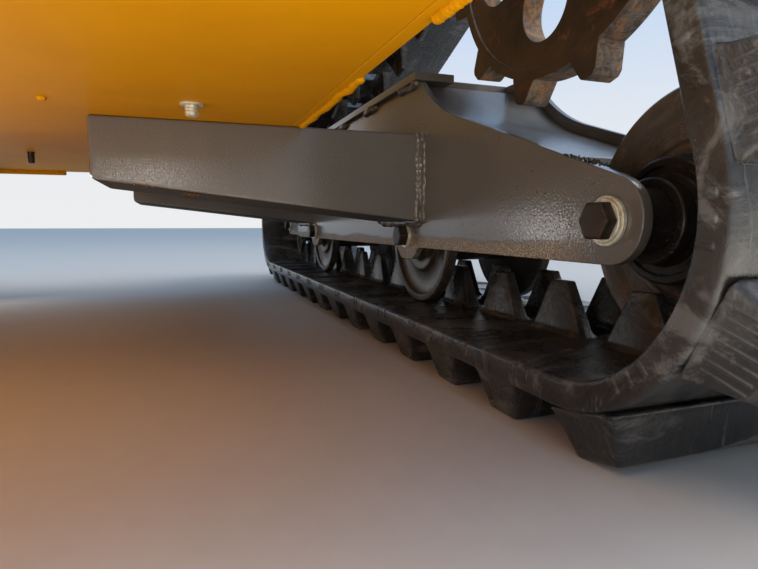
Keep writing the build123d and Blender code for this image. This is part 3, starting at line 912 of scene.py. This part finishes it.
def belt_marks():
    """Three short ticks down each side of the belt at a link, and three skewed ridges on its inside."""
    parts = []
    start = belt_width / 2 - mark_inset
    for sign in (-1, 1):
        for step in (-1, 0, 1):
            x = step * mark_spacing
            tick_z = belt_in + 0.0014 + mark_depth / 2
            tick = block("tick", (0.0024, 0.0012, mark_depth), (x, sign * belt_width / 2, tick_z))
            parts.append(bevelled(tick, 0.0005))
            middle = (x, sign * (start - ridge_reach / 2), belt_in)
            ridge = block("ridge", (0.0014, ridge_reach, 0.0012), middle)
            begin_edit(ridge)
            for share in (0.25, 0.5, 0.75):
                cut((0, sign * (start - ridge_reach * share), 0), (0, 1, 0))
            end_edit()
            for vertex in ridge.data.vertices:
                vertex.co.x -= ridge_skew * (start - abs(vertex.co.y)) / ridge_reach
            parts.append(bevelled(ridge, 0.0004, 1))
    return joined("belt_marks", *parts)


def tapered(name, base, tip, height, start, flare):
    """Block that grows along z from a flared root to a smaller tip."""
    foot = [length + 2 * flare for length in base]
    root = math.copysign(flare * 1.2, height)
    bpy.ops.mesh.primitive_plane_add(size=1.0, location=(0, 0, start))
    bpy.context.object.scale = (*foot, 1)
    piece = named(name)
    begin_edit(piece)
    for rise, below, above in ((root, foot, base), (height - root, base, tip)):
        bpy.ops.mesh.extrude_region_move(TRANSFORM_OT_translate={"value": (0, 0, rise)})
        bpy.ops.transform.resize(value=(above[0] / below[0], above[1] / below[1], 1))
    end_edit()
    return sealed(piece)


def lug_pair():
    """Two guide lugs, one on each side of a window, upright on their inner faces."""
    thickness = lug_out - window_width / 2
    parts = []
    for sign in (-1, 1):
        lug = tapered("lug", (lug_base - 0.004, thickness), (lug_tip, lug_tip_thickness),
                      -lug_height - root_overlap, belt_in + root_overlap, root_flare)
        bevelled(lug, 0.0010, angle=20)
        lug.data.transform(Matrix.Translation((0, sign * (window_width / 2 + thickness / 2), 0)))
        parts.append(lug)
    return joined("lug_pair", *parts)


def tread_bar():
    """Tread bar with sloping sides, fine ribs on its ends and rounded edges."""
    bar = tapered("tread_bar", (tread_length - 0.002, tread_width), (tread_tip_length, tread_tip_width),
                  tread_height + root_overlap, belt_out - root_overlap, root_flare * 0.6)
    bevelled(bar, 0.0022, 3, 20)
    ribs = []
    z = belt_out + rib_rise
    slope = math.atan((tread_width - tread_tip_width) / 2 / tread_height)
    for sign in (-1, 1):
        for step in range(-3, 4):
            rib = bevelled(block("rib", (0.0009, 0.0010, 0.016), (step * rib_spacing, 0, z)), 0.0003, 1)
            lean = Matrix.Rotation(sign * slope, 4, "X")
            shift = Matrix.Translation((0, sign * (tread_width / 2 - rib_inset), z))
            rib.data.transform(shift @ lean @ Matrix.Translation((0, 0, -z)))
            ribs.append(rib)
    return joined("tread_bar", bar, *ribs)


def rubber_track(name):
    """The left rubber track, whole."""
    starts = [index * track_pitch - first_lug_ahead for index in range(track_links)]
    flat = [Matrix.Translation((start, 0, 0)) for start in starts]
    belt = sealed(wrapped(repeated("belt", belt_link(), flat)), 2e-5)
    marks = wrapped(repeated("marks", belt_marks(), flat))
    lugs = repeated("lugs", lug_pair(), [link_place(start) for start in starts])
    bars = repeated("bars", tread_bar(), [link_place(start + track_pitch / 2) for start in starts])
    return smoothed(joined(name, belt, marks, lugs, bars), 32)


left_track = rubber_track("left_track_moulded")
stand_in(left_track, "left_rubber_track", materials["track_rubber"])
stand_in(mirrored(left_track, "right_track_moulded"), "right_rubber_track", materials["track_rubber"])


# Welds and crumbs

def bead(name, start, end, radius, paint="grey_paint", flat=1.0, facing_way=(0, 0, 1), pitch=0.6):
    """Weld bead between two points: a strip rolled to a bar, with ripples, lumps and closed ends."""
    length = (end - start).length
    step = radius * pitch
    rings = max(16, min(240, int(3 * length / step)))
    bpy.ops.mesh.primitive_grid_add(x_subdivisions=rings, y_subdivisions=12, size=1.0)
    piece = named(name)
    shift = chance.uniform(0, 40)
    for vertex in piece.data.vertices:
        along = (vertex.co.x + 0.5) * length
        turn = 2 * math.pi * (vertex.co.y + 0.5)
        near_end = min(along, length - along, radius) / radius
        closing = math.sqrt(max(0.0, 1 - (1 - near_end) ** 2))
        wave = math.cos(2 * math.pi * (along + 0.4 * radius * math.cos(turn)) / step)
        lump = solid_noise.noise(Vector((0.45 * along / radius, math.cos(turn), shift)))
        stray = 0.55 * radius * solid_noise.noise(Vector((0.16 * along / radius, shift, 2.0)))
        reach = radius * closing * (1 + 0.10 * pitch * wave + 0.34 * lump)
        vertex.co = Vector((along, reach * math.sin(turn) + stray, flat * reach * math.cos(turn)))
    sealed(piece, 1e-7)
    along = (end - start).normalized()
    beside = Vector(facing_way).cross(along).normalized()
    turn = Matrix((along, beside, along.cross(beside))).transposed().to_4x4()
    piece.data.transform(Matrix.Translation(start) @ turn)
    finish(smoothed(piece, 60), materials[paint])


def crumbs(name, start, end, spread, count, size, material):
    """Small crumbs strewn along a line on grey paint."""
    bpy.ops.mesh.primitive_ico_sphere_add(subdivisions=1, radius=1.0)
    seed = named(name + "_seed")
    begin_edit(seed, "VERT")
    bpy.ops.transform.vertex_random(offset=0.35, seed=5)
    end_edit()
    places = []
    for index in range(count):
        shift = Vector([chance.gauss(0, 0.4) * part for part in spread])
        reach = size * chance.uniform(0.3, 1.0)
        turn = Matrix.Rotation(chance.uniform(0, 6), 4, "Y")
        squash = Matrix.Diagonal((reach, reach * 0.6, reach * 0.8, 1.0))
        places.append(Matrix.Translation(start.lerp(end, chance.random()) + shift) @ turn @ squash)
    finish(repeated(name, seed, places), material)


def arm_welds(sign, label, low, high):
    """Beads that join an arm to its track frame and to the belly."""
    y = sign * plate_face
    for end, x, away in (("rear", low.x, -1), ("front", high.x, 1)):
        weld = label + "_" + end
        foot = Vector((x, y, low.z - 0.002))
        top = Vector((x, y, high.z + 0.001))
        toe = Vector((away * 0.0050, 0, 0))
        edge = Vector((0, -sign * 0.0038, 0))
        bead(weld + "_bead", foot, top, arm_bead, flat=0.62, facing_way=(away, -sign, 0), pitch=0.9)
        bead(weld + "_toe", foot + toe, top + toe - Vector((0, 0, 0.006)), toe_bead,
             flat=0.7, facing_way=(0, -sign, 0), pitch=2.2)
        bead(weld + "_edge", foot + edge, top + edge, edge_bead,
             flat=0.8, facing_way=(away, 0, 0), pitch=1.8)
        above = top + Vector((away * 0.004, 0, 0.003))
        crumbs(weld + "_spatter", above, above, (0.022, 0.0006, 0.010), 34, 0.0012,
               materials["grey_paint"])
    bead(label + "_under_bead", Vector((low.x, y, low.z)), Vector((high.x, y, low.z)), under_bead)
    start = Vector((low.x + 0.004, sign * wall_face, belly_z))
    bead(label + "_belly_bead", start, Vector((high.x - 0.004, start.y, start.z)), belly_bead)


def corner_welds(sign, side):
    """Stitches along the lower corner of the frame, where the belly meets the side wall."""
    belly_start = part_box("belly_plate")[0].x
    arm_low, arm_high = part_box(side + "_rear_arm")
    front_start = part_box(side + "_front_arm")[0].x
    stitches = (
        (belly_start + 0.010, 0.066), (arm_low.x - 0.154, 0.153), (arm_high.x + 0.020, 0.120),
        (front_start - 0.160, 0.120), (front_start + 0.002, 0.070),
    )
    for index, (start, length) in enumerate(stitches):
        corner = Vector((start, sign * (wall_face - bead_sink), belly_z + 0.0004))
        bead("%s_corner_stitch_%d" % (side, index), corner, corner + Vector((length, 0, 0)),
             stitch_bead, "yellow_paint", pitch=1.1)


def tub_welds(sign, side):
    """Beads down the frame's outer corners and along the seam inside its walls."""
    low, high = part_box("belly_plate")
    rear_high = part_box("rear_wall")[1]
    front_low, front_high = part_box("front_wall")
    y = sign * (wall_face - bead_sink)
    for label, x in (("rear", low.x + bead_sink), ("front", front_high.x - bead_sink)):
        bead("%s_%s_corner_bead" % (side, label), Vector((x, y, low.z + 0.004)),
             Vector((x, y, rear_high.z - 0.012)), corner_bead, "yellow_paint", pitch=1.1)
    seam = Vector((rear_high.x + 0.004, sign * (wall_face - wall_thickness), high.z))
    bead(side + "_floor_seam", seam, Vector((front_low.x - 0.004, seam.y, seam.z)), seam_bead,
         "yellow_paint", pitch=1.1)


def top_welds(sign, side):
    """Stitches under both edges of the top plate."""
    start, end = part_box("left_frame_top_plate")
    stitches = 4
    for index in range(stitches):
        x = start.x + 0.005 + index * (end.x - start.x - 0.055) / (stitches - 1)
        for row, y in enumerate((plate_face, 2 * half_gauge - plate_face)):
            foot = Vector((x, sign * y, start.z - bead_sink))
            bead("%s_stitch_%d_%d" % (side, row, index), foot, foot + Vector((0.040, 0, 0)), top_bead)


for sign, side in sides:
    corner_welds(sign, side)
    tub_welds(sign, side)
    nose = Vector((rear_axle.x + 0.006, sign * (plate_face + 0.0010), 0.1400))
    crumbs(side + "_nose_dirt", nose, nose + Vector((0.028, 0, 0.0080)), (0.004, 0.0016, 0.0007),
           110, 0.0010, grease)
    for index, (across, up) in enumerate(((0.127, 0.1392), (0.160, 0.1334))):
        foot = Vector((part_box(side + "_rear_arm")[0].x, sign * across, up))
        crumbs("%s_arm_rust_%d" % (side, index), foot, foot + Vector((0, sign * 0.010, -0.001)),
               (0.001, 0.004, 0.0007), 26, 0.0012, rust)
    top_welds(sign, side)
    for arm in ("_rear_arm", "_front_arm"):
        arm_welds(sign, side + arm, *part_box(side + arm))


# Small fasteners

def ring(name, inner, outer, low, high, centre):
    """Flat zinc ring on a cross axis, from low to high across, with its corners rounded."""
    soft = min(0.0004, (high - low) * 0.3)
    profile = [
        (low, inner), (low, outer - soft), (low + soft, outer), (high - soft, outer), (high, outer - soft),
        (high, inner),
    ]
    finish(smoothed(lathe(name, profile, centre, 64), 40), zinc)


def hex_head(name, flats, height, axis, place, flange):
    """Bolt head with its rim rounded and a flange under it, standing on a place along an axis."""
    bpy.ops.mesh.primitive_cylinder_add(vertices=6, radius=flats / math.sqrt(3), depth=height,
                                        location=(0, 0, height / 2))
    head = named(name)
    begin_edit(head, "EDGE")
    round_edges(head, flats * 0.09, lambda middle: middle.z > height - 0.0001)
    end_edit()
    bpy.ops.mesh.primitive_cylinder_add(vertices=40, radius=flange, depth=height * 0.22,
                                        location=(0, 0, height * 0.11))
    piece = joined(name, head, bevelled(named("flange"), height * 0.05))
    turn = Vector(axis).to_track_quat("Z", "X").to_matrix().to_4x4()
    spin = Matrix.Rotation(chance.uniform(0, math.pi / 3), 4, "Z")
    piece.data.transform(Matrix.Translation(Vector(place)) @ turn @ spin)
    return smoothed(piece, 32)


def bolt_circle(name, centre, radius, count, seed, phase):
    """Copies of a bolt head evenly round a cross axis, as one piece."""
    places = []
    for index in range(count):
        turn = phase + 2 * math.pi * index / count
        spot = Vector((radius * math.cos(turn), 0, radius * math.sin(turn)))
        places.append(Matrix.Translation(centre + spot))
    return smoothed(repeated(name, seed, places), 32)


def threaded_stud(name, place, radius, length, flange, material):
    """Stud that hangs from the belly: a flanged foot and rounded threads."""
    pitch = radius * 0.42
    turns = int(length / pitch)
    profile = [(0.0, 0.0), (0.0, flange), (radius * 0.28, flange), (radius * 0.36, radius * 0.95)]
    for step in range(1, turns):
        profile += [(step * pitch, radius), ((step + 0.5) * pitch, radius * 0.86)]
    profile += [(length - pitch * 0.4, radius * 0.9), (length, radius * 0.6), (length, 0.0)]
    piece = lathe(name, profile, Vector((0, 0, 0)), 40)
    piece.data.transform(Matrix.Translation(Vector(place)) @ Matrix.Rotation(math.radians(-90), 4, "X"))
    finish(smoothed(piece, 40), material)


zinc = materials["axle_steel"]
washer_top = half_frame + washer_thickness
web_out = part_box("left_sprocket")[1].y - 0.002
flange_face = wall_face + 0.012
port_y = wall_face - 0.075
rear_x = rear_axle.x
hub_x, hub_z = sprocket_axle.xz
for sign, side in sides:
    stud_place = (rear_x + 0.167, sign * 0.166, belly_z)
    threaded_stud(side + "_belly_stud", stud_place, 0.0046, 0.0085, 0.0076, zinc)
    for row, way in enumerate((-1, 1)):
        low, high = sorted((way * (washer_top + 0.0002), way * (washer_top + 0.0016)))
        ring("%s_rear_spring_washer_%d" % (side, row), 0.0090, 0.0112, low, high,
             rear_axle * Vector((1, sign, 1)))
    out = (0, sign, 0)
    seed = hex_head(side + "_hub_bolts_seed", 0.013, 0.008, out, (0, 0, 0), 0.0088)
    centre = Vector((hub_x, sign * web_out, hub_z))
    hub_bolts = bolt_circle(side + "_hub_bolts", centre, 0.041, 6, seed, 0.35)
    finish(hub_bolts, bolt_steel, side + "_sprocket_wheel")
    seed = hex_head(side + "_motor_bolts_seed", 0.016, 0.010, out, (0, 0, 0), 0.0105)
    centre = Vector((hub_x, sign * flange_face, hub_z))
    finish(bolt_circle(side + "_motor_bolts", centre, 0.0675, 5, seed, 0.63), zinc)
    for index, shift in enumerate((-0.019, 0.019)):
        foot = Vector((hub_x + shift, sign * port_y, hub_z + 0.049))
        port = hex_head("%s_port_%d" % (side, index), 0.024, 0.020, (0, 0, 1), foot, 0.0155)
        finish(port, zinc)

stud_place = (rear_x + 0.478, -0.009, belly_z)
threaded_stud("rusty_belly_stud", stud_place, 0.0036, 0.0120, 0.0036, bolt_steel)
screw_place = (rear_x + 0.179, -0.079, belly_z)
finish(hex_head("painted_belly_screw", 0.0044, 0.0020, (0, 0, -1), screw_place, 0.0030),
       materials["yellow_paint"])

# Thin lip under the belly's front edge, on the left half only
lip_place = (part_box("belly_plate")[1].x - 0.008, (wall_face - 0.005) / 2, belly_z - 0.0025)
lip = block("front_lip", (0.010, wall_face + 0.003, 0.0062), lip_place)
finish(smoothed(bevelled(lip, 0.0016, 3)), materials["yellow_paint"])


# Camera, floor and light

def aimed(name, data, place, view):
    """Puts a camera or a lamp at a place, so that it looks along a view."""
    thing = bpy.data.objects.new(name, data)
    bpy.context.scene.collection.objects.link(thing)
    thing.location = place
    thing.rotation_mode = "QUATERNION"
    thing.rotation_quaternion = view.to_track_quat("-Z", "Y")
    return thing


def add_camera():
    """Camera at floor level behind the machine, between the tracks."""
    behind = 0.220
    beside = 0.265
    height = 0.110
    heading = math.radians(19.869)
    dip = math.radians(6.141)
    data = bpy.data.cameras.new("photo_camera")
    data.sensor_width = 36.0
    data.lens = 36.0 * 553 / 758
    data.clip_start = 0.005
    place = (rear_axle.x - behind, beside - half_gauge, height)
    view = Vector((math.cos(heading) * math.cos(dip), -math.sin(heading) * math.cos(dip), -math.sin(dip)))
    bpy.context.scene.camera = aimed("photo_camera", data, place, view)


def add_floor():
    """Pale floor with a faint grain."""
    bpy.ops.mesh.primitive_plane_add(size=40.0)
    floor = named("floor")
    material, shader, place = new_material("pale_floor")
    colour = mixed(noise(place, 60.0, 6.0, 0.6), rgb(0.57, 0.52, 0.46), rgb(0.63, 0.58, 0.52))
    link(colour, shader.inputs["Base Color"])
    shader.inputs["Roughness"].default_value = 0.9
    shader.inputs["Specular IOR Level"].default_value = 0.2
    floor.data.materials.append(material)


def add_lamp(name, place, target, size, power, colour):
    """Soft rectangular lamp that faces a target."""
    data = bpy.data.lights.new(name, "AREA")
    data.shape = "RECTANGLE"
    data.size, data.size_y = size
    data.energy = power
    data.color = colour
    aimed(name, data, place, Vector(target) - Vector(place)).visible_camera = False


def add_world():
    """Sky that goes from a pale horizon to a soft blue overhead."""
    world = bpy.data.worlds.new("pale_surroundings")
    world.use_nodes = True
    bpy.context.scene.world = world
    trees.append(world.node_tree)
    height = split(node("ShaderNodeTexCoord").outputs["Generated"])["Z"]
    sky = mixed(ramp(height, 0.0, 0.6), rgb(0.92, 0.93, 0.94), rgb(0.42, 0.65, 1.0))
    background = world.node_tree.nodes["Background"]
    link(sky, background.inputs["Color"])
    background.inputs["Strength"].default_value = 0.92


add_camera()
add_floor()
add_world()
ground_glow = (1.0, 0.93, 0.80)
daylight = (1.0, 0.94, 0.86)
add_lamp("floor_bounce", (-1.06, -0.10, 0.012), (-1.06, -0.10, 1.0), (0.88, 1.7), 14, ground_glow)
add_lamp("under_bounce", (-0.36, 0.20, 0.012), (-0.36, 0.20, 1.0), (0.30, 0.22), 0.7, ground_glow)
add_lamp("rear_lamp", (-2.7, -0.02, 0.47), (-0.24, -0.12, 0.15), (0.22, 0.22), 3.5, daylight)
add_lamp("glint_lamp", (0.28, 0.15, 0.100), (-0.382, -0.355, 0.112), (0.07, 0.05), 0.09, (1.0, 0.98, 0.95))
add_lamp("right_lamp", (-0.6, -2.8, 2.2), (0, -0.3, 0.2), (2.0, 2.0), 46, daylight)
add_lamp("high_lamp", (-1.0, 1.6, 2.8), (-0.2, 0, 0.2), (1.6, 1.6), 30, daylight)
bpy.context.scene.view_settings.view_transform = "Standard"
